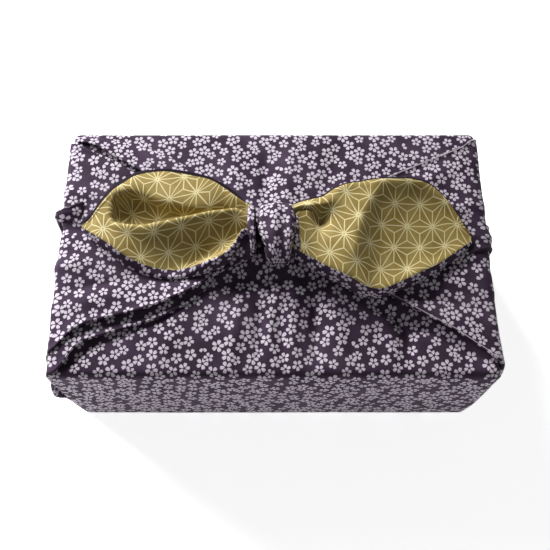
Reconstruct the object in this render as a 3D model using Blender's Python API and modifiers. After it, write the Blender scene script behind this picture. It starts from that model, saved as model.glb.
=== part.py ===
"""A furoshiki wrap: one square cloth folded round a flat box and tied in a square knot on top.

The cloth is a single piece, so the wrap is a single closed solid. The box inside doesn't show, and its
space is part of that solid. The wrap rests on its base at Z = 0, with +X along the box's long side and
-Y towards the front. Run it with blender --background --python part.py, or from the text editor.
"""

import math

import bmesh
import bpy
from mathutils import Vector

# Driving dimensions, in metres.
WIDTH = 0.302  # wrapped box, along X
DEPTH = 0.188  # along Y
HEIGHT = 0.115  # top face of the wrapped box, at its edges
EDGE_RADIUS = 0.006  # how far the cloth rounds the box's edges
CELLS = (0.0095, 0.0072, 0.024)  # spacing of the body's mesh, along X, Y and Z

CROWN = 0.003  # how far the slack cloth domes over the top
LIFT = 0.007  # how far the knot pulls the top up
LIFT_REACH = (0.070, 0.045)  # where that lift fades, along X and Y
SIDE_BOW = 0.0015  # how far the sides bulge

BAND_ROOT = 0.006  # how deep a band or flap starts inside the body, so that they join
BAND_PROUD = 0.0035  # how far the folded layers of a side band stand above the top
BAND_GATHER = 0.0105  # the same where the band is gathered into the knot
BAND_START = 0.016  # how far from the end its layers reach that height
GATHER_REACH = 0.075  # distance from the middle at which the gathering starts
FLAP_PROUD = 0.0025  # how far an end flap stands out from the end face
FOLD_PROUD = 0.0065  # how far the fold that crosses the top edge stands out
FLAP_FOOT = 0.005  # height of the end flap's lower edge
FLAP_TAIL = 0.024  # how far the flap runs onto the top
KNOT_CENTRE = (-0.001, 0.003, 0.1345)
KNOT_RING = (0.0225, 0.0165)  # radii of the wrapping turn, along Y and Z
KNOT_HALF_WIDTH = 0.0175  # of the wrapping turn, along X
KNOT_PLEAT = 0.0011  # depth of the pleats along that turn
NECK_RADII = (0.014, 0.010)  # of the strands that run through the knot, along Y and Z
NECK_REACH = 0.031  # half length of those strands
NECK_DROP = 0.0032  # how far they run below the knot's centre
EAR_THICKNESS = 0.0018
MM = 0.001

# A side band lies on the top from each end towards the knot. Reach is the distance from the middle along X,
# and front and back are the Y places of its two folded edges there, in millimetres.
# Columns: reach, front, back.
LEFT_BAND = (
    (148, -78, 88),
    (136, -60, 80),
    (116, -53, 67),
    (86, -44, 51),
    (58, -33, 36),
    (30, -17, 19),
    (16, -11, 14),
)
RIGHT_BAND = (
    (148, -86, 89),
    (136, -76, 80),
    (116, -62, 68),
    (86, -45, 54),
    (58, -31, 37),
    (30, -16, 19),
    (16, -10, 14),
)

# An end flap comes up the end face and narrows to the fold that crosses the top edge there. Climb is the
# distance from its foot, up the end and over the edge; front and back are Y places; all in millimetres.
# Columns: climb, front, back.
LEFT_FLAP = ((0, -84, 84), (26, -60, 70), (58, -28, 52), (88, 3, 38), (104, 12, 31), (134, 4, 36))
RIGHT_FLAP = ((0, -84, 84), (26, -66, 64), (58, -42, 40), (88, -14, 22), (104, -4, 17), (134, -10, 24))

# Soft ridges and troughs where the cloth is drawn to the knot: the two ends of each, how far it spreads to
# either side, and how high it stands (a trough is negative), all in millimetres.
# Columns: from, to, spread, height.
CREASES = (
    ((-22, -22), (-31, -84), 6.0, 1.8),
    ((-10, -26), (-9, -74), 4.5, -1.8),
    ((2, -24), (1, -60), 5.0, 1.9),
    ((3, -52), (9, -88), 4.5, -1.6),
    ((14, -22), (13, -78), 5.0, 1.7),
    ((26, -24), (26, -76), 4.5, -1.9),
    ((38, -30), (46, -84), 6.5, 1.5),
    ((76, -52), (84, -84), 5.0, 1.6),
    ((86, -46), (92, -76), 4.5, -1.7),
    ((-58, -42), (-78, -84), 7.0, 1.4),
    ((-98, -62), (-126, -80), 6.0, 2.4),
    ((-30, 28), (-46, 82), 6.5, 1.5),
    ((6, 26), (10, 80), 6.0, 1.6),
    ((30, 28), (52, 84), 6.5, -1.3),
)

# An ear is the cloth's corner past the knot. Each row is one section across it, at a reach from the knot's
# middle. The pairs are Y and Z places, in millimetres, of the lines that run along the ear.
# Columns: reach, back rim, back slope, hollow, crest, front slope, valley, front rim.
LEFT_EAR = (
    (14, (15, 137), (12, 139), (9, 136), (7, 140), (4, 138), (1, 133), (-2, 135)),
    (27, (27, 139), (20, 138), (13, 132), (12, 141), (7, 140), (-2, 132), (-13, 138)),
    (40, (39, 140), (28, 137), (14, 128), (7, 142), (2, 138), (-8, 130), (-18, 138)),
    (58, (47, 139), (34, 134), (17, 126), (1, 142), (-5, 135), (-15, 130), (-21, 137)),
    (78, (50, 138), (36, 132), (19, 125), (1, 140), (-7, 133), (-16, 129), (-22, 136)),
    (96, (47, 137), (35, 130), (20, 125), (8, 132), (-2, 130), (-11, 127), (-17, 133)),
    (112, (37, 136), (29, 128), (20, 125), (11, 127), (4, 126), (-3, 125), (-9, 129)),
    (125, (22, 133), (17, 127), (14, 124), (10, 124), (7, 124), (3, 124), (0, 126)),
    (133, (12, 126), (11, 125), (10, 124), (9, 123), (8, 123), (7, 123), (6, 124)),
)
RIGHT_EAR = (
    (12, (18, 140), (14, 142), (10, 137), (6, 139), (2, 139), (-3, 136), (-7, 137)),
    (24, (27, 140), (20, 142), (12, 133), (5, 137), (-3, 137), (-10, 134), (-16, 136)),
    (36, (34, 141), (25, 142), (15, 134), (4, 136), (-8, 138), (-17, 136), (-23, 137)),
    (52, (41, 143), (29, 143), (16, 141), (2, 142), (-13, 141), (-24, 138), (-33, 140)),
    (68, (44, 144), (30, 143), (16, 142), (1, 142), (-14, 139), (-27, 135), (-37, 139)),
    (86, (44, 141), (31, 138), (17, 136), (3, 134), (-10, 132), (-22, 130), (-30, 136)),
    (104, (40, 137), (28, 131), (17, 129), (6, 128), (-3, 127), (-12, 127), (-19, 132)),
    (120, (30, 133), (21, 127), (14, 125), (8, 125), (2, 124), (-4, 125), (-9, 128)),
    (136, (6, 125), (5, 124), (4, 123), (3, 123), (2, 123), (1, 123), (0, 124)),
)


def smooth(t):
    """Eases from 0 to 1 as t goes from 0 to 1."""
    t = min(max(t, 0.0), 1.0)
    return t * t * (3 - 2 * t)


def crease_height(x, y):
    """Sum of the soft ridges and troughs at a place on the top."""
    point = Vector((x, y))
    total = 0.0
    for start, end, spread, height in CREASES:
        start = Vector(start) * MM
        run = Vector(end) * MM - start
        share = min(max((point - start).dot(run) / run.length_squared, 0.0), 1.0)
        away = (point - start - share * run).length / (spread * MM)
        total += height * MM * math.exp(-(away**2)) * math.sin(math.pi * (0.1 + 0.8 * share))
    return total


def top_height(x, y):
    """Height of the top face: a low dome, drawn up towards the knot, with its creases."""
    dome = CROWN * (1 - min(1.0, abs(2 * x / WIDTH)) ** 2) * (1 - min(1.0, abs(2 * y / DEPTH)) ** 2)
    reach_x, reach_y = LIFT_REACH
    lift = LIFT * math.exp(-((x / reach_x) ** 2) - (y / reach_y) ** 2)
    return HEIGHT + dome + lift + crease_height(x, y)


def between(rows, at):
    """The front and back of a band or flap at a reach or a climb, read from its rows, in metres."""
    rows = sorted(rows)
    at = min(max(at / MM, rows[0][0]), rows[-1][0])
    for low, high in zip(rows, rows[1:]):
        if at <= high[0]:
            share = (at - low[0]) / (high[0] - low[0])
            return tuple(MM * (a + share * (b - a)) for a, b in zip(low[1:], high[1:]))
    return tuple(MM * value for value in rows[-1][1:])


def new_object(name, bm, collection):
    mesh = bpy.data.meshes.new(name)
    bmesh.ops.recalc_face_normals(bm, faces=bm.faces)
    closed = all(edge.is_manifold for edge in bm.edges)
    if closed and bm.calc_volume(signed=True) < 0:
        bmesh.ops.reverse_faces(bm, faces=bm.faces)
    bm.to_mesh(mesh)
    bm.free()
    obj = bpy.data.objects.new(name, mesh)
    collection.objects.link(obj)
    return obj


def plum_cotton():
    """The outer side of the cloth."""
    material = bpy.data.materials.new("plum_cotton")
    material.use_nodes = True
    shader = material.node_tree.nodes["Principled BSDF"]
    shader.inputs["Base Color"].default_value = (0.055, 0.038, 0.065, 1)
    shader.inputs["Roughness"].default_value = 0.85
    shader.inputs["Metallic"].default_value = 0.0
    material.diffuse_color = (0.055, 0.038, 0.065, 1)
    return material


def cut_across(bm, axis, half, spacing):
    """Cuts the mesh by planes across one axis, about spacing apart."""
    cuts = round(2 * half / spacing)
    for k in range(cuts + 1):
        at = Vector((0, 0, 0))
        at[axis] = (-1 + 2 * k / cuts) * half
        normal = Vector((0, 0, 0))
        normal[axis] = 1
        geometry = bm.verts[:] + bm.edges[:] + bm.faces[:]
        bmesh.ops.bisect_plane(bm, geom=geometry, dist=1e-6, plane_co=at, plane_no=normal)


def wrapped_box(collection):
    """The base and the front and back panels, closed round the box: a block with round edges, domed on top."""
    bm = bmesh.new()
    bmesh.ops.create_cube(bm, size=1.0)
    bmesh.ops.scale(bm, verts=bm.verts, vec=(WIDTH, DEPTH, HEIGHT))
    bmesh.ops.bevel(
        bm, geom=bm.edges[:], offset=EDGE_RADIUS, segments=3, profile=0.5, affect="EDGES", material=-1
    )
    for axis, size in enumerate((WIDTH, DEPTH, HEIGHT)):
        cut_across(bm, axis, size / 2 - EDGE_RADIUS, CELLS[axis])
    base = [face for face in bm.faces if face.normal.z < -0.999]
    bmesh.ops.dissolve_faces(bm, faces=base)
    for vert in bm.verts:
        x, y, z = vert.co
        rise = smooth(z / (HEIGHT / 2)) if z > 0 else 0.0
        bow = SIDE_BOW * (1 - (2 * z / HEIGHT) ** 2)
        vert.co.x += math.copysign(bow, x) * (abs(x) > WIDTH / 2 - EDGE_RADIUS)
        vert.co.y += math.copysign(bow, y) * (abs(y) > DEPTH / 2 - EDGE_RADIUS)
        vert.co.z += HEIGHT / 2 + rise * (top_height(x, y) - HEIGHT)
    return new_object("furoshiki", bm, collection)


def slab(name, steps, across, place, collection):
    """A closed slab, from a grid whose points place() puts on its outer face and then on its root."""
    bm = bmesh.new()
    bmesh.ops.create_grid(bm, x_segments=steps, y_segments=across, size=1.0)
    outer = bm.verts[:]
    grid = [((vert.co.x + 1) / 2, vert.co.y) for vert in outer]
    root = bmesh.ops.extrude_face_region(bm, geom=bm.faces[:])["geom"]
    root = [item for item in root if isinstance(item, bmesh.types.BMVert)]
    for vert in root:
        outside, inside = place((vert.co.x + 1) / 2, vert.co.y)
        vert.co = inside
    for vert, (along, side) in zip(outer, grid):
        outside, inside = place(along, side)
        vert.co = outside
    return new_object(name, bm, collection)


def roll(across):
    """Profile across a folded layer: level in the middle, rolling down at its two folded edges."""
    return math.sqrt(max(0.0, 1 - abs(across) ** 6))


def spread(across):
    """Moves a grid's lines towards its two edges, where the roll is."""
    return math.sin(across * math.pi / 2)


def side_band(name, side, rows, collection):
    """The folded layers that come over one end and narrow to the knot; side is -1 at the left, 1 at the right."""
    far, near = WIDTH / 2 - EDGE_RADIUS / 2, 0.016

    def place(along, across):
        across = spread(across)
        x = far + (near - far) * along
        front, back = between(rows, x)
        y = (front + back) / 2 + across * (back - front) / 2
        gather = smooth((GATHER_REACH - x) / (GATHER_REACH - near))
        start = smooth((far - x) / BAND_START)
        proud = (BAND_PROUD + gather * (BAND_GATHER - BAND_PROUD)) * (0.1 + 0.9 * start)
        base = top_height(side * x, y)
        return (side * x, y, base + proud * roll(across)), (side * x, y, base - BAND_ROOT)

    return slab(name, 14, 9, place, collection)


def end_path(climb, proud):
    """A point X, Z on the way up an end face and over its top edge, standing out by proud."""
    straight = HEIGHT - EDGE_RADIUS - FLAP_FOOT
    arc = EDGE_RADIUS * math.pi / 2
    if climb <= straight:
        z = FLAP_FOOT + climb
        return WIDTH / 2 + SIDE_BOW * (1 - (2 * z / HEIGHT - 1) ** 2) + proud, z
    turn = min(1.0, (climb - straight) / arc) * math.pi / 2
    x = WIDTH / 2 - EDGE_RADIUS + (EDGE_RADIUS + proud) * math.cos(turn)
    z = HEIGHT - EDGE_RADIUS + (EDGE_RADIUS + proud) * math.sin(turn)
    return x - max(0.0, climb - straight - arc), z


def end_flap(name, side, rows, collection):
    """The cloth where it comes up the end face, narrows to a thick fold and crosses the top edge."""
    straight = HEIGHT - EDGE_RADIUS - FLAP_FOOT
    length = straight + EDGE_RADIUS * math.pi / 2 + FLAP_TAIL

    def place(along, across):
        across = spread(across)
        climb = length * along
        front, back = between(rows, climb)
        y = (front + back) / 2 + across * (back - front) / 2
        fold = smooth(climb / straight - 0.35)
        tail = smooth((length - climb) / FLAP_TAIL)
        proud = (FLAP_PROUD + (FOLD_PROUD - FLAP_PROUD) * fold) * (0.35 + 0.65 * tail)
        out_x, out_z = end_path(climb, proud * roll(across))
        in_x, in_z = end_path(climb, -BAND_ROOT)
        return (side * out_x, y, out_z), (side * in_x, y, in_z)

    return slab(name, 16, 7, place, collection)


def knot_turn(collection):
    """The turn of cloth that wraps the knot: a soft barrel round the X axis, with pleats running round it."""
    bm = bmesh.new()
    bmesh.ops.create_uvsphere(bm, u_segments=22, v_segments=16, radius=1.0)
    for vert in bm.verts:
        y, z, x = vert.co
        turn = max(math.hypot(y, z), 1e-6)
        barrel = math.sqrt(max(0.0, 1 - abs(x) ** 3)) / turn if turn > 1e-5 else 0.0
        pleat = KNOT_PLEAT * math.cos(3.6 * math.pi * x) * (1 - x**4)
        vert.co = (
            KNOT_CENTRE[0] + KNOT_HALF_WIDTH * x,
            KNOT_CENTRE[1] + (KNOT_RING[0] + pleat) * y * barrel,
            KNOT_CENTRE[2] + (KNOT_RING[1] + pleat) * z * barrel,
        )
    return new_object("knot_turn", bm, collection)


def knot_neck(collection):
    """The gathered strands that run through the knot from the bands to the ears."""
    bm = bmesh.new()
    bmesh.ops.create_uvsphere(bm, u_segments=18, v_segments=13, radius=1.0)
    for vert in bm.verts:
        y, z, x = vert.co
        turn = max(math.hypot(y, z), 1e-6)
        blunt = math.sqrt(max(0.0, 1 - abs(x) ** 3)) / turn if turn > 1e-5 else 0.0
        vert.co = (
            KNOT_CENTRE[0] + NECK_REACH * x,
            KNOT_CENTRE[1] + NECK_RADII[0] * y * blunt,
            KNOT_CENTRE[2] - NECK_DROP + NECK_RADII[1] * z * blunt,
        )
    return new_object("knot_neck", bm, collection)


def ear(name, side, rows, collection):
    """One free end of the cloth, spread like a petal: a cage from its sections, smoothed and given thickness."""
    bm = bmesh.new()
    lines = len(rows[0]) - 1
    bmesh.ops.create_grid(bm, x_segments=len(rows) - 1, y_segments=lines - 1, size=1.0)
    for vert in bm.verts:
        row = rows[round((vert.co.x + 1) / 2 * (len(rows) - 1))]
        y, z = row[1 + round((1 - vert.co.y) / 2 * (lines - 1))]
        vert.co = (side * row[0] * MM, y * MM, z * MM)
    obj = new_object(name, bm, collection)
    smoothing = obj.modifiers.new("smooth", "SUBSURF")
    smoothing.levels = smoothing.render_levels = 1
    smoothing.boundary_smooth = "PRESERVE_CORNERS"
    cloth = obj.modifiers.new("cloth", "SOLIDIFY")
    cloth.thickness = EAR_THICKNESS
    cloth.offset = 0.0
    return obj


def main():
    for obj in list(bpy.data.objects):
        bpy.data.objects.remove(obj, do_unlink=True)
    scene = bpy.context.scene
    wrap = bpy.data.collections.new("furoshiki_wrap")
    joined = bpy.data.collections.new("joined_shapes")
    scene.collection.children.link(wrap)
    scene.collection.children.link(joined)

    body = wrapped_box(wrap)
    shapes = [
        knot_neck(joined),
        knot_turn(joined),
        side_band("band_left", -1, LEFT_BAND, joined),
        side_band("band_right", 1, RIGHT_BAND, joined),
        end_flap("flap_left", -1, LEFT_FLAP, joined),
        end_flap("flap_right", 1, RIGHT_FLAP, joined),
        ear("ear_left", -1, LEFT_EAR, joined),
        ear("ear_right", 1, RIGHT_EAR, joined),
    ]
    for shape in shapes:
        shape.hide_render = True
        shape.display_type = "WIRE"
        join = body.modifiers.new("join_" + shape.name, "BOOLEAN")
        join.operation = "UNION"
        join.solver = "EXACT"
        join.object = shape
    body.data.materials.append(plum_cotton())
    body.data.shade_smooth()
    body.data.set_sharp_from_angle(angle=math.radians(40))


main()
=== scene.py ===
"""A furoshiki: a square cloth, plum with blossoms outside and gold with hemp leaves inside, tied round a box.

Metres, with the wrap's base at Z = 0, +X along its long side and -Y towards the front. All of the pieces
here are parts of one cloth, each made where it shows.
"""

import math

import bmesh
import bpy
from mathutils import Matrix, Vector, noise


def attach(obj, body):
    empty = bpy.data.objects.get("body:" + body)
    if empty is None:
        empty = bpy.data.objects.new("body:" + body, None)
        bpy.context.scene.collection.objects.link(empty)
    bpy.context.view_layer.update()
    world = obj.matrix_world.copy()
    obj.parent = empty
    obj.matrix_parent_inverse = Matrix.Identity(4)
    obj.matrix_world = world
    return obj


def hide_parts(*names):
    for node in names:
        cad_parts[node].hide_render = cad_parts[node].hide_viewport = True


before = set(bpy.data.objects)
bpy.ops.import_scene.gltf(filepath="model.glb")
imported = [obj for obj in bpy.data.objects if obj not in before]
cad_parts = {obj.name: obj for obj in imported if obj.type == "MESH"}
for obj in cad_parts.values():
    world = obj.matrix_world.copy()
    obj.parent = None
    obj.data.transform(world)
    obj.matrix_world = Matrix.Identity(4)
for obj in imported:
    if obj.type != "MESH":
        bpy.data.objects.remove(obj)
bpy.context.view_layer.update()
NODE = "furoshiki"

# ------------------------------------------------------------------------------------------------------
# The panels: the middle of the cloth under the box, its front panel and its back panel, which go up the
# sides and meet on top under the knot. The slack top is drawn up towards the knot in soft folds.
# ------------------------------------------------------------------------------------------------------
WIDTH, DEPTH, HEIGHT = 0.302, 0.1885, 0.115
EDGE = 0.005  # radius of the box's edges under the cloth
WEAVE_CELL = 0.0026  # spacing of the panels' mesh
CROWN = 0.003
LIFT, LIFT_X, LIFT_Y = 0.0035, 0.060, 0.040
SIDE_BOW = 0.0015
UNEVEN, UNEVEN_SIZE = 0.0011, 0.045  # how far a side panel strays from flat, and over what length
SOFTNESS, SOFT_SIZE = 0.0007, 0.030  # the same for the top
LEVEL_MARGIN = 0.03  # the top is even within this of the box's edges
CLOTH = 0.0008  # thickness of the cloth
MM = 0.001

# Soft ridges and troughs on the top, in millimetres: ends, spread to each side, height (troughs negative).
CREASE_FADE = 0.1  # how early they die away at their ends
CREASES = (
    ((-20, -22), (-30, -88), 5.5, 2.4),
    ((-9, -26), (-10, -80), 3.6, -3.6),
    ((1, -24), (0, -62), 4.2, 2.6),
    ((1, -50), (8, -91), 3.4, -2.7),
    ((13, -22), (13, -82), 4.5, 2.8),
    ((27, -24), (28, -84), 3.6, -4.0),
    ((38, -30), (46, -88), 6.0, 2.3),
    ((74, -52), (80, -88), 5.0, 2.0),
    ((86, -46), (92, -82), 4.0, -4.2),
    ((-60, -46), (-80, -88), 7.0, 1.6),
    ((-36, -26), (26, -27), 9.0, -5.5),
    ((60, -40), (106, -64), 4.5, -5.5),
    ((112, -66), (140, -86), 4.0, -2.4),
    ((-122, -70), (-146, -90), 5.0, -2.6),
    ((-24, 28), (-34, 88), 6.0, 1.5),
    ((-6, 28), (-6, 74), 4.0, -2.2),
    ((8, 26), (12, 84), 6.0, 1.7),
    ((30, 30), (52, 88), 6.5, -1.6),
)


def ease(t):
    """From 0 to 1, level at both ends."""
    t = min(max(t, 0.0), 1.0)
    return t * t * (3 - 2 * t)


def ripple(x, y, z, size, seed=0.0):
    """Smooth unevenness between about -1 and 1, with waves of about that size."""
    return noise.noise(Vector((x / size + seed, y / size - seed, z / size + 3.7 * seed)))


def ridge_height(rows, x, y, fade):
    """Sum of the soft ridges and troughs in rows of ends, spread and height."""
    total = 0.0
    for (x0, y0), (x1, y1), spread, height in rows:
        run_x, run_y = (x1 - x0) * MM, (y1 - y0) * MM
        off_x, off_y = x - x0 * MM, y - y0 * MM
        share = (off_x * run_x + off_y * run_y) / (run_x**2 + run_y**2)
        share = min(max(share, 0.0), 1.0)
        away = math.hypot(off_x - share * run_x, off_y - share * run_y) / (spread * MM)
        if away < 3:
            swell = math.sin(math.pi * (fade + (1 - 2 * fade) * share))
            total += height * MM * math.exp(-(away**2)) * swell
    return total


def dome_height(x, y):
    """Height of the slack top without its creases."""
    dome = CROWN * (1 - min(1.0, abs(2 * x / WIDTH)) ** 2) * (1 - min(1.0, abs(2 * y / DEPTH)) ** 2)
    return HEIGHT + dome + LIFT * math.exp(-((x / LIFT_X) ** 2) - (y / LIFT_Y) ** 2)


def top_height(x, y):
    """Height of the top panels at a place."""
    return dome_height(x, y) + ridge_height(CREASES, x, y, CREASE_FADE)


def over_edge(out, up, out_half, up_half):
    """How far the cloth goes past a flat's edge round a rounded corner, from distances out and up."""
    turn = math.atan2(max(out - (out_half - EDGE), 0.0), max(up - (up_half - EDGE), 0.0))
    return EDGE * turn


def panel_uv(point, normal):
    """The place on the flat cloth: along X, and from the middle of the base up a side and over the top."""
    x, y, z = point
    rise = z + HEIGHT / 2
    flat_y, flat_z = DEPTH / 2 - EDGE, HEIGHT / 2 - EDGE
    quarter = EDGE * math.pi / 2
    arc_y = over_edge(abs(y), abs(z), DEPTH / 2, HEIGHT / 2)
    if z < -flat_z:
        girth = min(abs(y), flat_y) + arc_y
    elif z <= flat_z:
        girth = flat_y + quarter + rise - EDGE
    else:
        girth = flat_y + 2 * quarter + 2 * flat_z - arc_y + flat_y - min(abs(y), flat_y)
    across = abs(x)
    if across > WIDTH / 2 - EDGE:
        beyond = math.hypot(max(abs(y) - flat_y, 0.0), max(abs(z) - flat_z, 0.0))
        across = WIDTH / 2 - EDGE + EDGE * math.atan2(abs(x) - (WIDTH / 2 - EDGE), beyond)
    side = 1 if normal.y + 1e-4 * y > 0 else -1
    if abs(normal.z) > 0.5:
        side = 1 if y > 0 else -1
    return math.copysign(across, x), side * girth


def split_along(bm, axis, half, spacing):
    """Splits the long edges of a block along one axis into lengths of about spacing."""
    long_edges = []
    for edge in bm.edges:
        a, b = (vert.co for vert in edge.verts)
        others = [k for k in range(3) if k != axis]
        straight = all(abs(a[k] - b[k]) < 1e-6 for k in others)
        if straight and abs(a[axis] - b[axis]) > half:
            long_edges.append(edge)
    cuts = round(2 * half / spacing) - 1
    bmesh.ops.subdivide_edges(bm, edges=long_edges, cuts=cuts, use_grid_fill=True)


def cloth_piece(name, bm, materials, thickness=CLOTH, offset=-1.0, lined=False):
    """Turns a finished surface into a piece with the cloth's thickness; lined shows the reverse behind."""
    mesh = bpy.data.meshes.new(name)
    bm.to_mesh(mesh)
    bm.free()
    mesh.shade_smooth()
    for material in materials:
        mesh.materials.append(material)
    piece = bpy.data.objects.new(name, mesh)
    bpy.context.scene.collection.objects.link(piece)
    body = piece.modifiers.new("cloth", "SOLIDIFY")
    body.thickness = thickness
    body.offset = offset
    if lined:
        body.material_offset = 1
        body.material_offset_rim = 1
    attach(piece, "root")
    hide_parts(NODE)
    return piece


class Node:
    """A shader socket that takes Python's arithmetic: each operator adds the Math node it stands for."""

    def __init__(self, finish, socket):
        self.finish = finish
        self.socket = socket

    def math(self, operation, *others):
        inputs = dict(enumerate((self,) + others))
        return self.finish.add("ShaderNodeMath", {"operation": operation}, inputs)

    def __add__(self, other):
        return self.math("ADD", other)

    __radd__ = __add__

    def __sub__(self, other):
        return self.math("SUBTRACT", other)

    def __rsub__(self, other):
        return self.finish.value_math("SUBTRACT", other, self)

    def __mul__(self, other):
        return self.math("MULTIPLY", other)

    __rmul__ = __mul__

    def __truediv__(self, other):
        return self.math("DIVIDE", other)

    def __rtruediv__(self, other):
        return self.finish.value_math("DIVIDE", other, self)

    def __pow__(self, other):
        return self.math("POWER", other)

    def __abs__(self):
        return self.math("ABSOLUTE")


class Finish:
    """A cloth's material: its Principled shader, and the nodes that feed it."""

    def __init__(self, name, **settings):
        self.material = bpy.data.materials.new(name)
        self.material.use_nodes = True
        self.tree = self.material.node_tree
        self.shader = self.tree.nodes["Principled BSDF"]
        for socket, value in settings.items():
            self.shader.inputs[socket.replace("_", " ")].default_value = value

    def add(self, kind, settings=None, inputs=None, output=0):
        """Adds a node: its own settings first, then the values or links of its sockets."""
        node = self.tree.nodes.new(kind)
        for name, value in (settings or {}).items():
            setattr(node, name, value)
        for socket, value in (inputs or {}).items():
            if isinstance(value, Node):
                self.tree.links.new(value.socket, node.inputs[socket])
            else:
                node.inputs[socket].default_value = value
        if output is None:
            return [Node(self, socket) for socket in node.outputs]
        return Node(self, node.outputs[output])

    def value_math(self, operation, *values):
        return self.add("ShaderNodeMath", {"operation": operation}, dict(enumerate(values)))

    def step(self, value, low, high):
        """0 below low and 1 above high, smooth between."""
        inputs = {"Value": value, "From Min": low, "From Max": high}
        return self.add("ShaderNodeMapRange", {"interpolation_type": "SMOOTHSTEP"}, inputs)

    def mix(self, factor, first, second):
        """Mixes two colours."""
        return self.add("ShaderNodeMix", {"data_type": "RGBA"}, {0: factor, 6: first, 7: second}, 2)

    def noise(self, where, scale, detail=2.0):
        return self.add("ShaderNodeTexNoise", None, {"Vector": where, "Scale": scale, "Detail": detail})

    def link(self, socket, value):
        self.tree.links.new(value.socket, self.shader.inputs[socket])


THREAD = 0.00055  # spacing of the cloth's threads
THREAD_DEPTH = 0.00006
RUMPLE_DEPTH = 0.0005


def weave_bump(finish, place, relief=0.0):
    """The plain weave's threads and a slight unevenness of the hand-laid cloth, as a bump."""
    x, y, _ = finish.add("ShaderNodeSeparateXYZ", None, {0: place}, None)
    warp = (x * (math.tau / THREAD)).math("SINE")
    weft = (y * (math.tau / THREAD)).math("SINE")
    slub = finish.noise(place, 900.0, 3.0)
    rumple = finish.noise(place, 70.0, 3.0)
    height = (warp * weft * 0.5 + slub * 1.2) * THREAD_DEPTH + rumple * RUMPLE_DEPTH + relief
    bump = finish.add("ShaderNodeBump", None, {"Strength": 0.8, "Distance": 1.0, "Height": height})
    finish.link("Normal", bump)
    return slub


PLUM = (0.036, 0.022, 0.040, 1.0)
PLUM_WORN = (0.060, 0.040, 0.066, 1.0)
BLOSSOM = (0.53, 0.47, 0.545, 1.0)
BLOSSOM_PITCH = 0.0094  # usual distance between blossoms
BLOSSOM_RADIUS = 0.0043
BLOSSOM_SLANT = math.radians(20)
BLOSSOM_SCATTER = 0.38  # 0 leaves the blossoms in rows
PETALS = 5


def blossom(finish, place, pick):
    """One layer of blossoms, at the nearest (F1) or second nearest (F2) of scattered places.

    The places are a triangular lattice, each moved a little; skew takes it to a square one and back. Its
    rows run aslant the cloth's threads.
    """
    along_cloth, up_cloth, _ = finish.add("ShaderNodeSeparateXYZ", None, {0: place}, None)
    x = along_cloth * math.cos(BLOSSOM_SLANT) - up_cloth * math.sin(BLOSSOM_SLANT)
    y = along_cloth * math.sin(BLOSSOM_SLANT) + up_cloth * math.cos(BLOSSOM_SLANT)
    row = y * (2 / math.sqrt(3))
    skew = finish.add("ShaderNodeCombineXYZ", None, {0: x - row * 0.5, 1: row})
    settings = {"voronoi_dimensions": "2D", "feature": pick}
    inputs = {"Vector": skew, "Scale": 1 / BLOSSOM_PITCH, "Randomness": BLOSSOM_SCATTER}
    _, colour, centre, *_ = finish.add("ShaderNodeTexVoronoi", settings, inputs, None)
    turn, size, kind = finish.add("ShaderNodeSeparateXYZ", None, {0: colour}, None)
    middle_x, middle_y, _ = finish.add("ShaderNodeSeparateXYZ", None, {0: centre}, None)
    x = x - (middle_x + middle_y * 0.5)
    y = y - middle_y * (math.sqrt(3) / 2)
    reach = BLOSSOM_RADIUS * (size * 0.26 + 0.80)
    radius = (x * x + y * y) ** 0.5 / reach
    angle = y.math("ARCTAN2", x) / math.tau + turn * 7.0
    sector = ((angle * PETALS).math("FRACT") - 0.5) * (math.tau / PETALS)
    along = radius * sector.math("COSINE")
    across = abs(radius * sector.math("SINE"))
    # A petal is an oval that widens outwards, with a notch in its end; lengths are shares of the reach.
    width = along * 0.20 + 0.165
    petal = ((along - 0.59) / 0.39) ** 2 + (across / width) ** 2
    notch = ((along - 1.0) / 0.13) ** 2 + (across / 0.075) ** 2
    shape = (1 - finish.step(petal, 0.80, 1.10)) * finish.step(notch, 0.7, 1.3)
    # Now and then only part of a blossom is printed.
    loose = finish.step(kind, 0.92, 0.921) * finish.step(angle.math("FRACT"), 0.395, 0.405)
    return shape * (1 - loose), radius


def plum_print():
    """The outer face: plum cotton with a close print of small five-petalled blossoms."""
    finish = Finish("plum_print", Roughness=0.7, Sheen_Weight=0.015, Sheen_Roughness=0.4)
    finish.shader.inputs["Sheen Tint"].default_value = (0.8, 0.7, 0.85, 1)
    finish.shader.inputs["Specular IOR Level"].default_value = 0.04
    place = finish.add("ShaderNodeUVMap", {"uv_map": "cloth"})
    near, near_radius = blossom(finish, place, "F1")
    far, far_radius = blossom(finish, place, "F2")
    clear = finish.step(near_radius, 1.0, 1.1)
    print_mask = near + far * clear
    slub = weave_bump(finish, place, print_mask * 0.00004)
    worn = finish.noise(place, 34.0, 4.0)
    ground = finish.mix(finish.step(worn, 0.35, 0.75), PLUM, PLUM_WORN)
    ink = (print_mask * (0.80 + slub * 0.36)).math("MINIMUM", 1.0)
    finish.link("Base Color", finish.mix(ink, ground, BLOSSOM))
    finish.link("Roughness", 0.64 - print_mask * 0.05)
    return finish.material


plum = plum_print()

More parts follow.
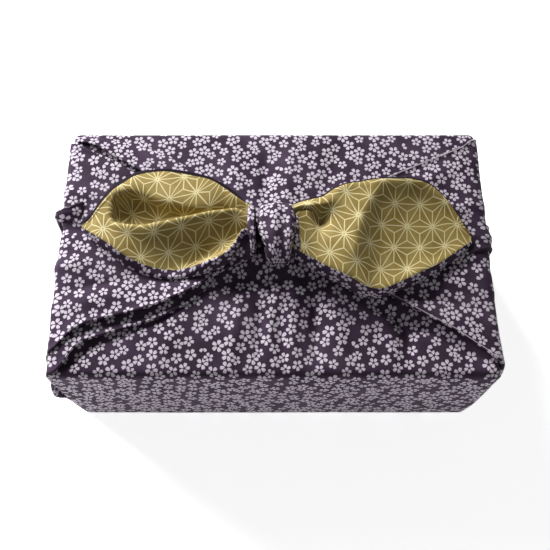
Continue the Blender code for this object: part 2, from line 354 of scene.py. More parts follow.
bm = bmesh.new()
bmesh.ops.create_cube(bm, size=1.0)
bmesh.ops.scale(bm, verts=bm.verts, vec=(WIDTH, DEPTH, HEIGHT))
bmesh.ops.bevel(
    bm, geom=bm.edges[:], offset=EDGE, segments=5, profile=0.5, affect="EDGES", material=-1
)
for axis, size in enumerate((WIDTH, DEPTH, HEIGHT)):
    split_along(bm, axis, size / 2 - EDGE, WEAVE_CELL)
bm.normal_update()
cloth_uv = bm.loops.layers.uv.new("cloth")
for face in bm.faces:
    for loop in face.loops:
        loop[cloth_uv].uv = panel_uv(loop.vert.co, face.normal)
for vert in bm.verts:
    x, y, z = vert.co
    rise = ease(z / (HEIGHT / 2))
    bow = SIDE_BOW * (1 - (2 * z / HEIGHT) ** 2)
    uneven = ripple(x, 3 * y, z, UNEVEN_SIZE) * UNEVEN * (1 - abs(2 * z / HEIGHT) ** 4)
    vert.co.x += math.copysign(bow, x) * (abs(x) > WIDTH / 2 - EDGE)
    vert.co.y += math.copysign(bow + uneven, y) * (abs(y) > DEPTH / 2 - EDGE)
    soft = SOFTNESS * ripple(x, y, 0, SOFT_SIZE, 2.0)
    inner = ease((WIDTH / 2 - abs(x)) / LEVEL_MARGIN) * ease((DEPTH / 2 - abs(y)) / LEVEL_MARGIN)
    vert.co.z += HEIGHT / 2 + rise * (top_height(x, y) - HEIGHT + soft * inner)
panels = cloth_piece("panels", bm, [plum])

# ------------------------------------------------------------------------------------------------------
# The side cloths: at each end the cloth goes up the end face, over its top edge and on to the knot. Its
# slack is folded under along both sides, so that on top it narrows from the box's corners to the knot.
# ------------------------------------------------------------------------------------------------------
FOLD_TUCK = 0.009  # how far a folded edge runs back underneath
FOLD_ROLL = 0.0016  # radius of a folded edge
ROLL_FROM, ROLL_TO = 36 / 45, 42 / 45  # where that roll starts and ends, across a cloth
FOLD_RIM, RIM_WIDTH = 0.0015, 0.0035  # how a folded edge stands up
SIDE_GATHER = 0.0090  # how much higher the cloth stands where it is gathered into the knot
GATHER_REACH = 0.070
KNOT_SIDE = 0.014  # where a side cloth goes into the knot
SIDE_STEPS = (190, 90)
SIDE_RIPPLE, SIDE_RIPPLE_SIZE = 0.0005, 0.024
SIDE_THICKNESS = 0.0007
SIDE_PRINT = 0.21  # how far along the cloth its part of the print starts

# The folded edges on the top and down the end, at a climb from the base: the front and back edges in Y, and
# how far the cloth stands out there; millimetres. The top edge is at a climb of 114, the knot at 250.
# climb, front, back, front proud, back proud
LEFT_SIDE = (
    (1, -92, 92, 0.8, 0.8),
    (35, -93, 92, 1.2, 1.2),
    (50, -93.5, 92, 2.6, 1.4),
    (57, -95, 92, 5.4, 1.6),
    (65, -96, 92, 6.4, 1.8),
    (75, -95, 92, 5.8, 2.2),
    (85, -93, 92, 4.2, 2.6),
    (95, -91, 91.5, 2.4, 2.2),
    (105, -87, 90.5, 2.0, 2.4),
    (112, -82, 86, 2.6, 2.6),
    (119, -74, 81, 4.4, 3.2),
    (128, -64, 76, 6.2, 4.2),
    (137, -59.5, 71.5, 6.8, 4.6),
    (148, -56.5, 66, 6.8, 4.6),
    (158, -54, 58.8, 6.6, 4.4),
    (179, -48.5, 47, 6.4, 3.6),
    (206, -36, 33, 5.2, 3.2),
    (222, -26, 25, 3.6, 3.2),
    (240, -16, 18, 3.2, 3.2),
    (250, -13, 15, 3.2, 3.2),
)
RIGHT_SIDE = (
    (1, -92, 92, 0.8, 0.8),
    (60, -92, 92, 0.9, 0.9),
    (88, -92, 92, 1.4, 1.0),
    (100, -91.5, 92, 2.2, 1.2),
    (107, -89, 91.5, 3.0, 1.6),
    (112, -86, 90, 3.4, 1.8),
    (118, -82, 86, 3.6, 2.4),
    (124, -77, 80.5, 4.0, 3.0),
    (142, -64, 72, 4.6, 3.8),
    (160, -54.5, 63.5, 6.0, 4.2),
    (179, -44, 54.5, 7.2, 4.2),
    (196, -34, 45, 5.8, 3.6),
    (218, -23.5, 29, 3.4, 3.0),
    (236, -14, 18, 3.0, 3.0),
    (250, -11, 14, 3.0, 3.0),
)
# Ridges along a side cloth, where it is drawn to the knot: ends in X and Y, spread and height, millimetres.
RIDGE_FADE = 0.12
RIDGES_FROM, RIDGES_OVER = 0.088, 0.028  # the climb at which they start, and how soon they are full
LEFT_RIDGES = (
    ((92, 44), (128, 66), 6.0, 1.4),
    ((122, -14), (164, -17), 6.0, 2.0),
    ((104, -38), (150, -48), 6.0, 1.6),
    ((104, -28), (142, -34), 3.5, -1.6),
    ((124, 38), (156, 44), 5.0, 1.8),
    ((112, 8), (156, 14), 4.5, -2.4),
)
RIGHT_RIDGES = (
    ((90, 40), (132, 60), 6.0, 1.6),
    ((112, 24), (156, 34), 5.0, 1.2),
    ((78, -44), (132, -66), 5.0, 2.0),
    ((92, -36), (144, -50), 3.6, -1.6),
    ((100, -26), (150, -34), 4.0, 1.4),
    ((108, -14), (152, -16), 4.0, -1.6),
)


def read_rows(rows, at):
    """The values after a row's first one, read between rows at a place given in metres."""
    at = min(max(at / MM, rows[0][0]), rows[-1][0])
    for low, high in zip(rows, rows[1:]):
        if at <= high[0]:
            share = (at - low[0]) / (high[0] - low[0])
            return [MM * (a + share * (b - a)) for a, b in zip(low[1:], high[1:])]


def fold_profile(across, half):
    """Across a cloth folded under at both sides: the place from its middle, and the drop below its top.

    Across runs from -1 to 1 over the whole cloth, and half is its half width as it lies. The roll of each
    folded edge takes the steps from ROLL_FROM to ROLL_TO, so that it follows the mesh's lines.
    """
    flat = half - FOLD_ROLL
    share = abs(across)
    if share <= ROLL_FROM:
        return math.copysign(flat * share / ROLL_FROM, across), 0.0
    if share <= ROLL_TO:
        turn = math.pi * (share - ROLL_FROM) / (ROLL_TO - ROLL_FROM)
        return math.copysign(flat + FOLD_ROLL * math.sin(turn), across), FOLD_ROLL * (1 - math.cos(turn))
    back = FOLD_TUCK * (share - ROLL_TO) / (1 - ROLL_TO)
    return math.copysign(max(flat - back, 0.0), across), 2 * FOLD_ROLL


def lay_grid(steps, place, part=None):
    """A grid whose points place() puts: from two values, each from 0 to 1, to a point and a flat place.

    From the same two values, at a face's middle, part() gives the material it takes.
    """
    bm = bmesh.new()
    along_steps, across_steps = steps
    bmesh.ops.create_grid(bm, x_segments=along_steps, y_segments=across_steps, size=1.0)
    if part:
        for face in bm.faces:
            middle = face.calc_center_median()
            face.material_index = part((middle.x + 1) / 2, (middle.y + 1) / 2)
    placed = {vert: place((vert.co.x + 1) / 2, (vert.co.y + 1) / 2) for vert in bm.verts}
    cloth_uv = bm.loops.layers.uv.new("cloth")
    for vert, (point, flat) in placed.items():
        for loop in vert.link_loops:
            loop[cloth_uv].uv = flat
        vert.co = point
    return bm


def face_out(bm, towards):
    """Turns a sheet's faces over if they don't look along a direction."""
    bm.normal_update()
    look = sum((face.normal * face.calc_area() for face in bm.faces), Vector())
    if look.dot(towards) < 0:
        bmesh.ops.reverse_faces(bm, faces=bm.faces[:])


def end_path(climb, proud):
    """X, Z and how far the cloth has turned level, on the way up an end face and along the top."""
    straight = HEIGHT - EDGE
    arc = EDGE * math.pi / 2
    if climb <= straight:
        bow = SIDE_BOW * (1 - (2 * climb / HEIGHT - 1) ** 2)
        return WIDTH / 2 + bow + proud, climb, 0.0
    turn = min(1.0, (climb - straight) / arc) * math.pi / 2
    x = WIDTH / 2 - EDGE + (EDGE + proud) * math.cos(turn)
    z = HEIGHT - EDGE + (EDGE + proud) * math.sin(turn)
    return x - max(0.0, climb - straight - arc), z, turn / (math.pi / 2)


TOP_CLIMB = HEIGHT - EDGE + EDGE * math.pi / 2  # where the cloth is level on the top
WHOLE_CLIMB = TOP_CLIMB + WIDTH / 2 - EDGE - KNOT_SIDE


def gather(x):
    """How much the cloth stands up towards the knot, at a distance to one side of it."""
    return SIDE_GATHER * max(0.0, (GATHER_REACH - x) / (GATHER_REACH - KNOT_SIDE)) ** 2


# The right cloth's folds carry a pale line painted on the top of their roll: a painted highlight along the
# fold edges.
PAINTED_HIGHLIGHT_TO = 37 / 45  # how far round the roll the painted highlight goes
PAINTED_HIGHLIGHT_FROM = 0.45  # and from how far along the cloth
painted_fold_highlight_finish = Finish("painted_fold_highlight", Roughness=0.75)
painted_fold_highlight_finish.shader.inputs["Base Color"].default_value = (0.36, 0.32, 0.37, 1)
painted_fold_highlight = painted_fold_highlight_finish.material


def side_cloth(name, side, rows, ridges):
    """The cloth from an end's base to the knot; side is -1 at the left end and 1 at the right."""

    def place(along, across):
        climb = MM + along * (WHOLE_CLIMB - MM)
        x, _, level = end_path(climb, 0.0)
        front, back, front_proud, back_proud = read_rows(rows, climb)
        half = (back - front) / 2
        inset, drop = fold_profile(2 * across - 1, half)
        y = (front + back) / 2 + inset
        share = (inset / half + 1) / 2
        middle = min(front_proud, back_proud)
        edge = back_proud if share > 0.5 else front_proud
        rise = middle + (edge - middle) * ease(abs(2 * share - 1) * 2.2 - 1.2)
        rise += (level >= 1) * gather(x) * (1 - 0.85 * (inset / half) ** 2)
        drawn = ease((climb - RIDGES_FROM) / RIDGES_OVER) * (drop == 0)
        rise += ridge_height(ridges, x, y, RIDGE_FADE) * drawn
        rise += FOLD_RIM * level * ease(1 - (half - abs(inset)) / RIM_WIDTH)
        rise += SIDE_RIPPLE * ripple(x, y, climb, SIDE_RIPPLE_SIZE, 5.0 + side)
        x, z, _ = end_path(climb, rise - drop)
        if level >= 1:
            z += dome_height(side * x, y) - HEIGHT
        return (side * x, y, z), (side * (WIDTH / 2 + HEIGHT - climb), y + SIDE_PRINT)

    def part(along, across):
        """A pale line painted on the roll of the right cloth's folds, as the highlight along their edges."""
        share = abs(2 * across - 1)
        return int(side > 0 and along > PAINTED_HIGHLIGHT_FROM and ROLL_FROM < share < PAINTED_HIGHLIGHT_TO)

    bm = lay_grid(SIDE_STEPS, place, part)
    face_out(bm, Vector((side, 0, 1)))
    piece = cloth_piece(name, bm, [plum, painted_fold_highlight], thickness=SIDE_THICKNESS)


side_cloth("side_cloth_left", -1, LEFT_SIDE, LEFT_RIDGES)
side_cloth("side_cloth_right", 1, RIGHT_SIDE, RIGHT_RIDGES)

# ------------------------------------------------------------------------------------------------------
# The slack folds: on each end face spare width comes up in a tapering fold that crosses the top edge as one
# thick pleat, and at the left corners a pleat of the panels shows beside the side cloth's folded edges.
# ------------------------------------------------------------------------------------------------------
# climb, front, back, front proud, back proud
LEFT_FOLD = (
    (4, -84, 84, 1.6, 1.6),
    (26, -62, 71, 1.9, 1.9),
    (58, -26, 54, 2.6, 2.6),
    (88, 8, 38, 3.6, 4.6),
    (104, 17.5, 27, 4.8, 7.6),
    (112, 19.5, 26, 5.6, 9.4),
    (118, 18.5, 27.5, 5.0, 9.6),
    (123, 16.5, 30.5, 4.0, 8.8),
    (127, 14.5, 33, 3.0, 7.4),
    (129.5, 15, 32, -0.8, -0.8),
    (134, 16, 30, -0.8, -0.8),
)
RIGHT_FOLD = (
    (4, -84, 84, 1.4, 1.4),
    (26, -66, 66, 1.6, 1.6),
    (58, -42, 42, 2.0, 2.0),
    (88, -14, 24, 2.4, 2.4),
    (104, -3, 17, 3.4, 3.4),
    (112, -2, 16, 4.4, 4.0),
    (122, -6, 20, 4.6, 4.2),
    (136, -12, 26, 4.2, 4.0),
    (160, -18, 30, 3.0, 3.0),
)
LEFT_FRONT_PLEAT = (
    (66, -93.5, -70, 1.2, 1.2),
    (96, -94, -66, 1.4, 1.4),
    (110, -94, -62, 1.6, 1.6),
    (118, -92.5, -58, 2.8, 1.8),
    (123, -87, -58, 4.0, 2.0),
    (129, -77, -54, 4.4, 1.8),
    (136, -71, -48, 4.4, 1.6),
    (150, -66.5, -44, 4.2, 1.6),
    (166, -61.5, -40, 3.8, 1.6),
    (186, -55, -34, 3.0, 1.6),
    (206, -43.5, -26, 2.2, 1.6),
    (222, -30, -16, 1.6, 1.6),
)
LEFT_BACK_PLEAT = (
    (113, 87, 92, -0.8, -0.8),
    (118, 85, 92, 2.6, -0.8),
    (124, 83.5, 92, 4.2, -0.8),
    (131, 81, 92, 5.0, -0.8),
    (149, 69, 92, 5.0, -0.8),
    (167, 58, 90, 4.6, -0.8),
    (186, 47, 84, 3.0, -0.8),
    (206, 38, 74, -0.8, -0.8),
)
# Each fold: name, side, its rows, how its profile waves, its flat size and area in metres.
SLACK_FOLDS = (
    ("end_fold_left", -1, LEFT_FOLD, 0.0003, (0.16, 0.11), 0.0135),
    ("end_fold_right", 1, RIGHT_FOLD, 0.0006, (0.16, 0.11), 0.0135),
    ("front_pleat_left", -1, LEFT_FRONT_PLEAT, 0.0004, (0.16, 0.045), 0.0064),
    ("back_pleat_left", -1, LEFT_BACK_PLEAT, 0.0004, (0.12, 0.045), 0.0048),
)
FOLD_STEPS = (120, 44)
FOLD_RIPPLE, FOLD_RIPPLE_SIZE = 0.0004, 0.018
FOLD_PRINT = (0.05, 0.33)  # where their part of the print starts


def slack_fold(name, side, rows, wave, flat, area):
    """One tapering fold, with its edges rolled under, from its first climb to its last."""
    first, last = rows[0][0] * MM, rows[-1][0] * MM

    def place(along, across):
        climb = first + along * (last - first)
        x, _, level = end_path(climb, 0.0)
        front, back, front_proud, back_proud = read_rows(rows, climb)
        half = (back - front) / 2
        inset, drop = fold_profile(2 * across - 1, half)
        y = (front + back) / 2 + inset
        share = (inset / half + 1) / 2
        rise = front_proud + (back_proud - front_proud) * share
        rise += wave * math.cos(3 * math.pi * (share - 0.5)) * (drop == 0)
        rise += FOLD_RIPPLE * ripple(x, y, climb, FOLD_RIPPLE_SIZE, 11.0 + side)
        x, z, _ = end_path(climb, rise - drop)
        if level >= 1:
            z += dome_height(side * x, y) - HEIGHT
        flat_x = side * (WIDTH / 2 + HEIGHT - climb) + FOLD_PRINT[0]
        return (side * x, y, z), (flat_x, y + FOLD_PRINT[1])

    bm = lay_grid(FOLD_STEPS, place)
    face_out(bm, Vector((side, 0, 1)))
    piece = cloth_piece(name, bm, [plum], thickness=SIDE_THICKNESS)


for row in SLACK_FOLDS:
    slack_fold(*row)

# ------------------------------------------------------------------------------------------------------
# The knot: one turn of the cloth's corner wraps round the gathered strands, from the back over the top to
# the front, with soft pleats along it and a narrow fold at each side.
# ------------------------------------------------------------------------------------------------------
# Each turn: name, middle in X, half width, middle in Y, radius in Y, middle in Z, radius in Z, the angles
# over which it runs (0 at the front, 90 on top), and how much it narrows to the front. Millimetres, degrees.
KNOT_TURNS = (
    ("knot_turn", 1.8, 12.8, 2.0, 22.0, 132.5, 15.5, -60, 215, 0.30),
    ("knot_fold_left", -15.6, 2.9, 5.5, 17.5, 130.5, 13.0, -60, 205, 0.30),
    ("knot_fold_right", 14.4, 2.4, 2.5, 18.0, 130.5, 12.5, -55, 200, 0.10),
)
KNOT_SQUARE = 0.82  # below 1, a turn is squarer than an ellipse
KNOT_CROWN = 0.0009 / 17.0  # height of the pleats along a turn, for each millimetre of its half width
KNOT_LEAN = 0.0012  # how far a turn leans to the right at the front
KNOT_RIPPLE, KNOT_RIPPLE_SIZE = 0.0004, 0.010
KNOT_STEPS = (84, 48)


def knot_turn(name, middle, half, middle_y, radius_y, middle_z, radius_z, start, end, narrowing):
    """One turn over the knot, as a strip whose print follows its length round the turn."""

    def lay(angle, side):
        """A point of the turn, from its angle in degrees and how far across it is, from -1 to 1."""
        cos, sin = math.cos(math.radians(angle)), math.sin(math.radians(angle))
        reach = math.copysign(abs(cos) ** KNOT_SQUARE, cos)
        rise = math.copysign(abs(sin) ** KNOT_SQUARE, sin)
        front = ease(cos)
        shoulder = (1 - abs(side) ** 6) ** 0.5
        ring = 0.45 + 0.55 * shoulder
        crown = KNOT_CROWN * half * math.cos(2.1 * math.pi * (side + 0.12 + 0.15 * cos))
        x = middle * MM + half * MM * side * (1 - narrowing * front) + KNOT_LEAN * front
        y = middle_y * MM - (radius_y * MM * ring + crown) * reach
        z = middle_z * MM + (radius_z * MM * ring + crown) * rise
        return Vector((x, y, z + KNOT_RIPPLE * ripple(x, y, z, KNOT_RIPPLE_SIZE, 21.0)))

    angles = [start + (end - start) * k / KNOT_STEPS[0] for k in range(KNOT_STEPS[0] + 1)]
    middle_line = [lay(angle, 0.0) for angle in angles]
    lengths = [0.0]
    for a, b in zip(middle_line, middle_line[1:]):
        lengths.append(lengths[-1] + (b - a).length)

    def place(round_, across):
        k = round(round_ * KNOT_STEPS[0])
        side = 2 * across - 1
        return lay(angles[k], side), (half * MM * side * 1.1 + middle * MM + 0.4, lengths[k])

    bm = lay_grid(KNOT_STEPS, place)
    face_out(bm, Vector((0, 0, 1)))
    piece = cloth_piece(name, bm, [plum])
    0.0052 * (radius_y + radius_z) / 2
    (2.2 * half + 5.0) * MM


for row in KNOT_TURNS:
    knot_turn(*row)

# ------------------------------------------------------------------------------------------------------
# The ears: the cloth's two tied corners, spread beside the knot like petals with the gold face up. Their
# edges stand up all round; along the back a plain hem is painted near black, as painted shade under the
# rim, and the plum face shows as a narrow lip along the front.
# ------------------------------------------------------------------------------------------------------
EAR_STEPS = (140, 100)
BACK_FOLD, FRONT_FOLD = 10, 80  # the steps across an ear between which its gold face shows
# Each row is one section across an ear, at a reach from the knot's middle. Its pairs are the place in Y and
# the height above the side cloth of the lines that run along the ear; millimetres.
# reach, back hem, back rim, brow, hollow's back, hollow's front, crest, front slope, valley, front rim, lip,
# lip's foot
LEFT_EAR = (
    (13, (20, 1), (18, 5), (17, 6), (14, 3), (12, 2), (10, 5), (6, 4), (3, 2), (1, 3), (0, 2), (0, 0)),
    (21, (25.5, 4), (23, 8), (20, 4.8), (18, 2.8), (16, 2.5), (15, 8),
     (9, 5), (5, 1.5), (3, 5.5), (2, 3), (1.5, 0)),
    (27, (32, 5), (28, 9), (22, 4.8), (19.5, 2), (18, 1), (17, 10.5),
     (9, 5), (-1, 0.3), (-8, 9), (-10.5, 4), (-11.5, 0)),
    (35, (39.5, 6), (35, 10), (24, 6.8), (20.5, 2), (17.3, 0.8), (16, 13),
     (6, 5), (-6, 0.2), (-16.5, 10.8), (-20, 4), (-20.5, 0.5)),
    (45, (45, 7), (42, 11), (22.5, 10.4), (18.8, 2.4), (16.3, 0.8), (14.8, 15),
     (3, 5.5), (-11, 0.3), (-19.5, 10), (-22.5, 4.5), (-23.5, 0.5)),
    (56, (49.7, 8), (45.5, 12), (22, 13.4), (18, 3.6), (13.2, 0.8), (12, 17),
     (0, 7), (-14.5, 0.6), (-20.5, 4), (-24.5, 2.6), (-26, 0.5)),
    (67, (52.3, 8), (48, 12.5), (24.4, 14.2), (19.6, 3.6), (11, 0.8), (9.8, 18),
     (-3, 9), (-14, 3.2), (-21.5, 1.8), (-26, 2), (-27.5, 0.5)),
    (78, (54, 8), (49.5, 13), (27, 14.8), (21.8, 3.6), (9, 0.8), (7.6, 18),
     (-5, 10), (-13.5, 5.2), (-21, 3), (-25.5, 2.4), (-27, 0.5)),
    (89, (53.6, 8.5), (48.5, 13.5), (31.4, 15.2), (25.8, 4), (8, 1), (6, 17),
     (-4, 11), (-11.5, 7.6), (-18.5, 5.6), (-22.5, 3.4), (-24, 0.5)),
    (99, (51.5, 9), (45.5, 14), (34.6, 14.9), (28.6, 4.4), (9.5, 1.6), (7, 15.8),
     (-1, 12), (-8, 9.8), (-14.5, 8.4), (-18, 4.4), (-19.5, 0.5)),
    (106, (46.9, 9.5), (40.5, 14), (34, 14.1), (28.4, 5), (12, 2.6), (8.5, 14.4),
     (2, 12.5), (-4, 11.2), (-10.5, 10.4), (-13.5, 5.6), (-14.8, 0.8)),
    (111, (43.6, 9), (37, 13.8), (32.4, 13.4), (27, 7), (15.5, 4.6), (10, 13.2),
     (5, 12.2), (0, 11.6), (-6.5, 11.2), (-10, 5.8), (-11.2, 1)),
    (114.5, (40.4, 8.8), (33.8, 13.4), (29.5, 12.8), (24, 11.5), (17, 11.5), (12, 12.4),
     (7, 11.8), (2, 11.4), (-4, 11), (-7, 5.8), (-8, 1)),
    (122, (32, 7.5), (24.5, 11.5), (21.5, 11), (18, 10.8), (15, 10.8), (12, 11),
     (8.5, 10.8), (5, 10.5), (1.5, 10.2), (-1, 5.5), (-2, 1)),
    (129, (22.4, 4.5), (15.5, 7.8), (14.5, 7.6), (13.5, 7.5), (12.5, 7.6), (11.5, 7.6),
     (10, 7.4), (8.5, 7.1), (7, 6.6), (5.5, 3.5), (5, 1)),
    (135, (16.5, 3), (12.4, 4.5), (12.3, 4.4), (12.2, 4.3), (12.1, 4.3), (12, 4.3),
     (11.9, 4.3), (11.8, 4.3), (11.7, 4.2), (11.6, 3), (11.5, 1.5)),
)
# reach, back hem, back rim, roll, crease, hollow, back middle, front middle, front slope, front rim, lip,
# lip's foot
RIGHT_EAR = (
    (12, (22.4, 1), (19.5, 5.5), (16, 9.5), (14.4, 6.5), (12.8, 7), (7, 7),
     (0, 6.5), (-6, 5), (-10, 3), (-11.5, 1.5), (-12, -1)),
    (18, (25.4, 3), (22.5, 7), (17.4, 12), (15.8, 9), (14, 10), (7, 9),
     (-1, 8), (-8, 7), (-14, 5.5), (-17, 2), (-18, -1)),
    (25, (28, 4.5), (24.2, 9.5), (18.4, 14), (16.4, 10.4), (14, 11.4), (6, 10.6),
     (-3, 10), (-11, 9.5), (-18, 8.5), (-21.5, 3.5), (-22.5, 0)),
    (31, (29.8, 5.5), (25.4, 11.8), (19.2, 15.6), (16, 11), (9.5, 6.2), (3.5, 9),
     (-4, 11.5), (-13, 12), (-22, 10.5), (-25, 5), (-26, 0.5)),
    (35, (31.6, 6.5), (26.8, 13.2), (20, 16.4), (16.2, 12.8), (9.5, 8.4), (2.5, 11.4),
     (-6, 13.5), (-15, 13.5), (-24.5, 12), (-27, 5.5), (-28, 0.5)),
    (40, (35.8, 7.5), (30.6, 15), (23, 16.8), (17, 14.8), (11.5, 13.5), (2, 14.5),
     (-8, 15.5), (-17, 15), (-27, 13.5), (-29.5, 6), (-30.5, 1)),
    (47, (39.4, 9), (34, 17.5), (26.5, 17.6), (17.5, 17), (9, 16.8), (0, 17.3),
     (-10, 18), (-20, 17), (-30.5, 15), (-33, 7), (-34, 1)),
    (54, (42, 9), (36.3, 18.4), (27.5, 18.9), (17.5, 19), (8, 19.2), (-2, 20),
     (-13, 19.6), (-23, 16.5), (-34, 14.5), (-36.5, 7), (-37.5, 1)),
    (60, (43, 9), (37, 19), (28.5, 19.9), (18.5, 20.4), (9, 20.8), (-2, 18.8),
     (-13, 16.4), (-25, 14.8), (-37.5, 14), (-39.5, 7), (-40.5, 1)),
    (66, (44.6, 9), (38.5, 19.2), (29.5, 20.4), (20.5, 20.5), (9, 17.4), (-3, 14.8),
     (-14, 13.2), (-26, 12.4), (-39, 12.6), (-41, 7), (-41.5, 1)),
    (73, (45.8, 9), (39.6, 19.4), (31.5, 19.8), (19.5, 15.6), (8, 13.2), (-4, 12),
     (-15, 11.2), (-26, 11.2), (-38.5, 12.2), (-40, 6.5), (-40.5, 1)),
    (82, (46.6, 9), (40.8, 18.6), (31.5, 15.6), (19.5, 12.8), (8, 11.4), (-3, 10.8),
     (-13, 10.8), (-23, 11.2), (-35, 12.6), (-37, 6.5), (-38, 1)),
    (97, (47, 8.5), (41.6, 17), (30.5, 11.6), (19, 9), (8, 8.2), (-1, 8.2),
     (-9, 8.8), (-17, 9.8), (-27, 11.8), (-29.5, 6), (-30.5, 1)),
    (110, (43, 7.5), (38.2, 14.5), (28, 9.4), (18, 7), (9, 6.4), (1, 6.4),
     (-6, 6.8), (-12, 7.6), (-20, 9), (-22.5, 5), (-23.5, 1)),
    (122, (31.3, 6), (27.3, 11), (21, 7), (15, 5.4), (10, 4.9), (5, 4.7),
     (0, 4.8), (-5, 5.2), (-11, 6.2), (-13, 4), (-14, 1)),
    (131, (17.3, 4.5), (14, 7.4), (11.5, 5), (9, 4.2), (7, 3.9), (4.5, 3.8),
     (2, 3.8), (-1, 4), (-4, 4.4), (-6, 3), (-7, 1)),
    (138, (4.9, 3), (3.3, 3.4), (3, 3.3), (2.7, 3.2), (2.4, 3.1), (2.1, 3.1),
     (1.8, 3.1), (1.5, 3.1), (1, 3), (0.5, 3), (0.3, 1.5)),
)
EAR_REST = 0.0031  # thickness of the side cloth that an ear lies on
EAR_THICKNESS = 0.0011
EAR_RIPPLE, EAR_RIPPLE_SIZE = 0.0005, 0.016
GOLD = (0.215, 0.152, 0.038, 1.0)
GOLD_WORN = (0.285, 0.212, 0.068, 1.0)
LINE = (0.600, 0.530, 0.290, 1.0)
STAR_SPACING = 0.0190
LINE_WIDTH = 0.00072


def gold_print():
    """The reverse: olive gold cotton with a hemp-leaf lattice, triangles with their corners joined in Ys."""
    finish = Finish("gold_print", Roughness=0.7, Sheen_Weight=0.05, Sheen_Roughness=0.4)
    finish.shader.inputs["Specular IOR Level"].default_value = 0.15
    place = finish.add("ShaderNodeUVMap", {"uv_map": "cloth"})
    x, y, _ = finish.add("ShaderNodeSeparateXYZ", None, {0: place}, None)
    row = STAR_SPACING * math.sqrt(3) / 2
    shares = []
    for angle in (90, 210, 330):
        run = x * (math.cos(math.radians(angle)) / row) + y * (math.sin(math.radians(angle)) / row)
        shares.append(run.math("FRACT"))
    flipped = finish.step(shares[0] + shares[1] + shares[2], 1.4, 1.6)
    shares = [flipped + share * (1 - 2 * flipped) for share in shares]
    least = shares[0].math("MINIMUM", shares[1]).math("MINIMUM", shares[2])
    most = shares[0].math("MAXIMUM", shares[1]).math("MAXIMUM", shares[2])
    middle = 1 - least - most
    edge_away = least * row
    leaf_away = (middle - least) * (STAR_SPACING / 2)
    away = edge_away.math("MINIMUM", leaf_away)
    heart = finish.step((1 - most) * row, 0.0001, 0.0008)
    line = (1 - finish.step(away, LINE_WIDTH * 0.32, LINE_WIDTH * 0.68)) * heart
    slub = weave_bump(finish, place, line * 0.00006)
    worn = finish.noise(place, 60.0, 4.0)
    ground = finish.mix(finish.step(worn, 0.35, 0.7), GOLD, GOLD_WORN)
    ink = (line * (0.70 + slub * 0.5)).math("MINIMUM", 1.0)
    finish.link("Base Color", finish.mix(ink, ground, LINE))
    finish.link("Roughness", 0.62 - line * 0.06)
    return finish.material


gold = gold_print()
# The ears' back hem: plain, and painted near black, darker than the plum ground, as painted shade along the
# rim.
painted_shade_hem_finish = Finish("plum_hem_painted_shade", Roughness=0.8)
painted_shade_hem_finish.shader.inputs["Specular IOR Level"].default_value = 0.05
painted_shade_hem_finish.shader.inputs["Base Color"].default_value = (0.010, 0.006, 0.011, 1)
painted_shade_hem = painted_shade_hem_finish.material


def through(points, at):
    """A smooth curve through evenly taken points; at runs from 0 to 1."""
    spans = len(points) - 1
    at = min(max(at, 0.0), 1.0) * spans
    k = min(int(at), spans - 1)
    t = at - k
    p1, p2 = points[k], points[k + 1]
    p0 = points[k - 1] if k > 0 else 2 * p1 - p2
    p3 = points[k + 2] if k + 2 <= spans else 2 * p2 - p1
    return 0.5 * (2 * p1 + (p2 - p0) * t + (2 * p0 - 5 * p1 + 4 * p2 - p3) * t * t
                  + (3 * p1 - p0 - 3 * p2 + p3) * t**3)


def ear(name, side, rows, turn, shift):
    """An ear from its sections; turn and shift place the lattice on it."""
    along_steps, across_steps = EAR_STEPS
    lines = []
    for k in range(1, len(rows[0])):
        line = []
        for row in rows:
            x, (y, height) = row[0] * MM, row[k]
            line.append(Vector((x, y * MM, dome_height(x, 0.0) + gather(x) + EAR_REST + height * MM)))
        lines.append(line)
    sections = []
    for i in range(along_steps + 1):
        cage = [through(line, i / along_steps) for line in lines]
        sections.append([through(cage, j / across_steps) for j in range(across_steps + 1)])
    # Flat places: along the ear by its middle line, and across it by arc length from that line.
    centre = across_steps // 2
    along, total = [0.0], 0.0
    for a, b in zip(sections, sections[1:]):
        total += (b[centre] - a[centre]).length
        along.append(total)
    flats = []
    for i, section in enumerate(sections):
        spans = [(b - a).length for a, b in zip(section, section[1:])]
        reach = [sum(spans[centre:j]) if j >= centre else -sum(spans[j:centre]) for j in range(len(section))]
        flats.append([(along[i], -offset) for offset in reach])
    cos, sin = math.cos(turn), math.sin(turn)

    def place(s, t):
        i, j = round(s * along_steps), round(t * across_steps)
        x, y, z = sections[i][j]
        u, v = flats[i][j]
        u += shift[0]
        v += shift[1]
        z += EAR_RIPPLE * ripple(x, y, z, EAR_RIPPLE_SIZE, 9.0 + side)
        return (side * x, y, z), (side * (u * cos - v * sin), u * sin + v * cos)

    def part(_, across):
        """The gold face between the two folds, the hem behind it painted near black as shade, and the plum
        face in front.
        """
        step = across * across_steps
        if step < BACK_FOLD:
            return 2
        return int(step > FRONT_FOLD)

    bm = lay_grid(EAR_STEPS, place, part)
    face_out(bm, Vector((0, 0, 1)))
    piece = cloth_piece(name, bm, [gold, plum, painted_shade_hem], thickness=EAR_THICKNESS, offset=0.0, lined=True)


ear("ear_left", -1, LEFT_EAR, 0.0, (0.004, 0.006))
ear("ear_right", 1, RIGHT_EAR, math.radians(4), (0.0, 0.0))

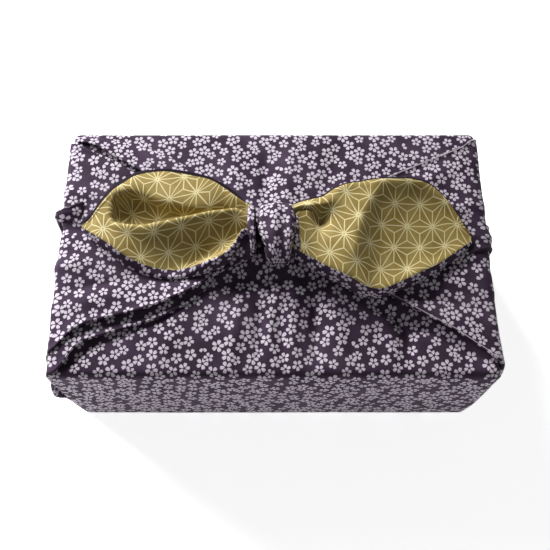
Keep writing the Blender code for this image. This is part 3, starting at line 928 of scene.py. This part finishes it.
# ------------------------------------------------------------------------------------------------------
# The set: a plain pale floor, two soft lights from the left and back, a weak one from the front, and a pale
# room around.
# ------------------------------------------------------------------------------------------------------
FLOOR_HALF = 3.0
FLOOR_DROP = 0.0003  # keeps the floor clear of the wrap's base
ROOM_LIGHT = 0.15
CAMERA_PLACE = (0.0005, -0.2243, 0.6116)
CAMERA_TILT = 67.8  # degrees below level
CAMERA_LENS = 50.4

bm = bmesh.new()
bmesh.ops.create_grid(bm, x_segments=1, y_segments=1, size=FLOOR_HALF)
floor_mesh = bpy.data.meshes.new("floor")
bm.to_mesh(floor_mesh)
bm.free()
floor = bpy.data.objects.new("floor", floor_mesh)
floor.location.z = -FLOOR_DROP
bpy.context.scene.collection.objects.link(floor)
floor_finish = Finish("pale_floor", Roughness=0.9)
floor_finish.shader.inputs["Base Color"].default_value = (0.9, 0.9, 0.9, 1)
floor_finish.shader.inputs["Emission Color"].default_value = (1, 1, 1, 1)
floor_finish.shader.inputs["Emission Strength"].default_value = 0.75
floor_mesh.materials.append(floor_finish.material)


def soft_light(name, place, size, power):
    """A square soft box that faces the wrap, with its side in metres and its power in watts."""
    light = bpy.data.lights.new(name, "AREA")
    light.size = size
    light.energy = power
    lamp = bpy.data.objects.new(name, light)
    lamp.location = place
    lamp.rotation_euler = (Vector((0, 0, 0.1)) - Vector(place)).to_track_quat("-Z", "Y").to_euler()
    bpy.context.scene.collection.objects.link(lamp)


soft_light("key", (-0.46, 1.15, 0.95), 0.28, 23.0)
soft_light("side", (-0.90, 0.62, 0.58), 0.42, 19.0)
soft_light("fill", (0.3, -1.2, 0.7), 1.2, 2.2)

world = bpy.data.worlds.new("room")
world.use_nodes = True
world.node_tree.nodes["Background"].inputs["Color"].default_value = (1, 1, 1, 1)
world.node_tree.nodes["Background"].inputs["Strength"].default_value = ROOM_LIGHT
bpy.context.scene.world = world
bpy.context.scene.view_settings.view_transform = "Standard"

camera_data = bpy.data.cameras.new("camera")
camera_data.lens = CAMERA_LENS
camera = bpy.data.objects.new("camera", camera_data)
camera.location = CAMERA_PLACE
camera.rotation_euler = (math.radians(90 - CAMERA_TILT), 0.0, 0.0)
bpy.context.scene.collection.objects.link(camera)
bpy.context.scene.camera = camera
